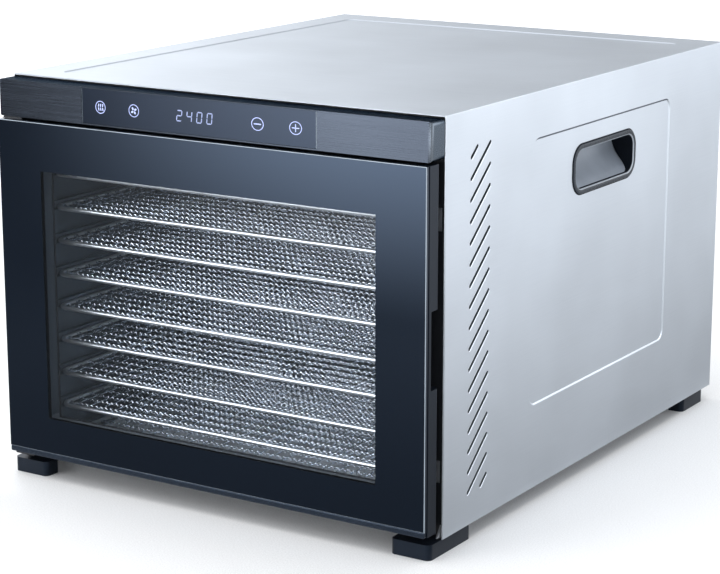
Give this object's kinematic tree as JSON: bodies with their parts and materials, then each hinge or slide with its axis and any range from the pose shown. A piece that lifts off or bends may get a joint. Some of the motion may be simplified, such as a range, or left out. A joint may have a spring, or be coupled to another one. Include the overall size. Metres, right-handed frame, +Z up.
{
  "type": "food dehydrator",
  "caption": "Cabinet food dehydrator with a brushed steel shell, a hinged glass door, stacked wire mesh trays, a rear fan and heater, side hand pockets and a touch panel.",
  "frame": {"origin": "centre of the object's box on the surface that its feet stand on", "axes": "+X to the right seen from the front, +Y from the door to the back, +Z up"},
  "size_m": [0.3808, 0.485, 0.312],
  "materials": {
    "satin_steel": "satin brushed stainless steel",
    "liner_steel": "plain stainless sheet",
    "tray_wire": "bright polished stainless wire",
    "pan_steel": "smooth stainless pan",
    "zinc_steel": "zinc-plated steel",
    "strip_metal": "grey satin edge strip",
    "lamination_steel": "laminated steel",
    "heater_steel": "heat-tinted sheath",
    "fan_aluminium": "pressed aluminium",
    "bearing_brass": "sintered bronze",
    "copper_winding": "varnished copper wire",
    "door_glass": "flat polished glass",
    "display_glass": "dark smoked display window",
    "black_print": "black print on glass",
    "door_plastic": "satin black moulded plastic",
    "panel_plastic": "satin black moulded plastic",
    "black_frame": "black enamel",
    "pocket_plastic": "dark grey moulded plastic",
    "module_plastic": "moulded component plastic",
    "bush_plastic": "natural nylon",
    "circuit_board": "green solder mask",
    "foot_rubber": "black moulded rubber",
    "seal_rubber": "grey silicone",
    "gland_rubber": "black moulded rubber",
    "loom_rubber": "sleeved wires"
  },
  "bodies": {
    "cabinet": {"shell_top": "satin_steel", "shell_side_left": "satin_steel", "shell_side_right": "satin_steel", "back_panel": "satin_steel", "base_plate": "zinc_steel", "front_frame": "black_frame", "liner_left": "liner_steel", "liner_right": "liner_steel", "liner_top": "liner_steel", "liner_floor": "liner_steel", "rear_baffle": "liner_steel", "corner_gussets": "zinc_steel", "foot_front_left": "foot_rubber", "foot_front_right": "foot_rubber", "foot_rear_left": "foot_rubber", "foot_rear_right": "foot_rubber", "foot_screws": "zinc_steel", "back_screws": "zinc_steel", "handle_pocket_left": "pocket_plastic", "handle_pocket_right": "pocket_plastic", "panel_housing": "panel_plastic", "display_glass": "display_glass", "display_board": "circuit_board", "display_digits": "module_plastic", "touch_keys": "module_plastic", "panel_screws": "zinc_steel", "power_board": "circuit_board", "power_parts": "module_plastic", "wire_loom": "loom_rubber", "cord_gland": "gland_rubber", "motor_plate": "zinc_steel", "motor_stator": "lamination_steel", "motor_coil": "copper_winding", "motor_bearings": "bearing_brass", "heater_ring": "heater_steel", "thermal_cutout": "module_plastic", "hinge_bracket_top": "zinc_steel", "hinge_bracket_bottom": "zinc_steel", "strike_plates": "zinc_steel"},
    "door": {"door_frame": "door_plastic", "door_glass": "door_glass", "glass_mask": "black_print", "door_bottom_strip": "strip_metal", "door_seal": "seal_rubber", "door_retainer": "black_frame", "hinge_bushes": "bush_plastic", "door_magnets": "zinc_steel"},
    "fan": {"fan_shaft": "zinc_steel", "fan_impeller": "fan_aluminium", "motor_rotor": "lamination_steel"},
    "body_tray_1": {"tray_1": "tray_wire"},
    "body_tray_2": {"tray_2": "tray_wire"},
    "body_tray_3": {"tray_3": "tray_wire"},
    "body_tray_4": {"tray_4": "tray_wire"},
    "body_tray_5": {"tray_5": "tray_wire"},
    "body_tray_6": {"tray_6": "tray_wire"},
    "body_tray_7": {"tray_7": "tray_wire"},
    "body_tray_8": {"tray_8": "tray_wire"},
    "body_tray_9": {"tray_9": "tray_wire"},
    "body_drip_tray": {"drip_tray": "pan_steel"}
  },
  "joints": [
    {"name": "door_hinge", "type": "hinge", "parent": "cabinet", "child": "door", "pos_m": [-0.18, -0.2335, 0.149], "axis": [0, 0, -1], "range_deg": [0, 115]},
    {"name": "fan_spin", "type": "hinge", "parent": "cabinet", "child": "fan", "pos_m": [0, 0.1995, 0.144], "axis": [0, 1, 0], "continuous": true},
    {"name": "tray_1_slide", "type": "slide", "parent": "cabinet", "child": "body_tray_1", "axis": [0, -1, 0], "range_m": [0, 0.008]},
    {"name": "tray_2_slide", "type": "slide", "parent": "cabinet", "child": "body_tray_2", "axis": [0, -1, 0], "range_m": [0, 0.008]},
    {"name": "tray_3_slide", "type": "slide", "parent": "cabinet", "child": "body_tray_3", "axis": [0, -1, 0], "range_m": [0, 0.008]},
    {"name": "tray_4_slide", "type": "slide", "parent": "cabinet", "child": "body_tray_4", "axis": [0, -1, 0], "range_m": [0, 0.008]},
    {"name": "tray_5_slide", "type": "slide", "parent": "cabinet", "child": "body_tray_5", "axis": [0, -1, 0], "range_m": [0, 0.008]},
    {"name": "tray_6_slide", "type": "slide", "parent": "cabinet", "child": "body_tray_6", "axis": [0, -1, 0], "range_m": [0, 0.008]},
    {"name": "tray_7_slide", "type": "slide", "parent": "cabinet", "child": "body_tray_7", "axis": [0, -1, 0], "range_m": [0, 0.008]},
    {"name": "tray_8_slide", "type": "slide", "parent": "cabinet", "child": "body_tray_8", "axis": [0, -1, 0], "range_m": [0, 0.008]},
    {"name": "tray_9_slide", "type": "slide", "parent": "cabinet", "child": "body_tray_9", "axis": [0, -1, 0], "range_m": [0, 0.008]},
    {"name": "drip_tray_slide", "type": "slide", "parent": "cabinet", "child": "body_drip_tray", "axis": [0, -1, 0], "range_m": [0, 0.008]}
  ]
}
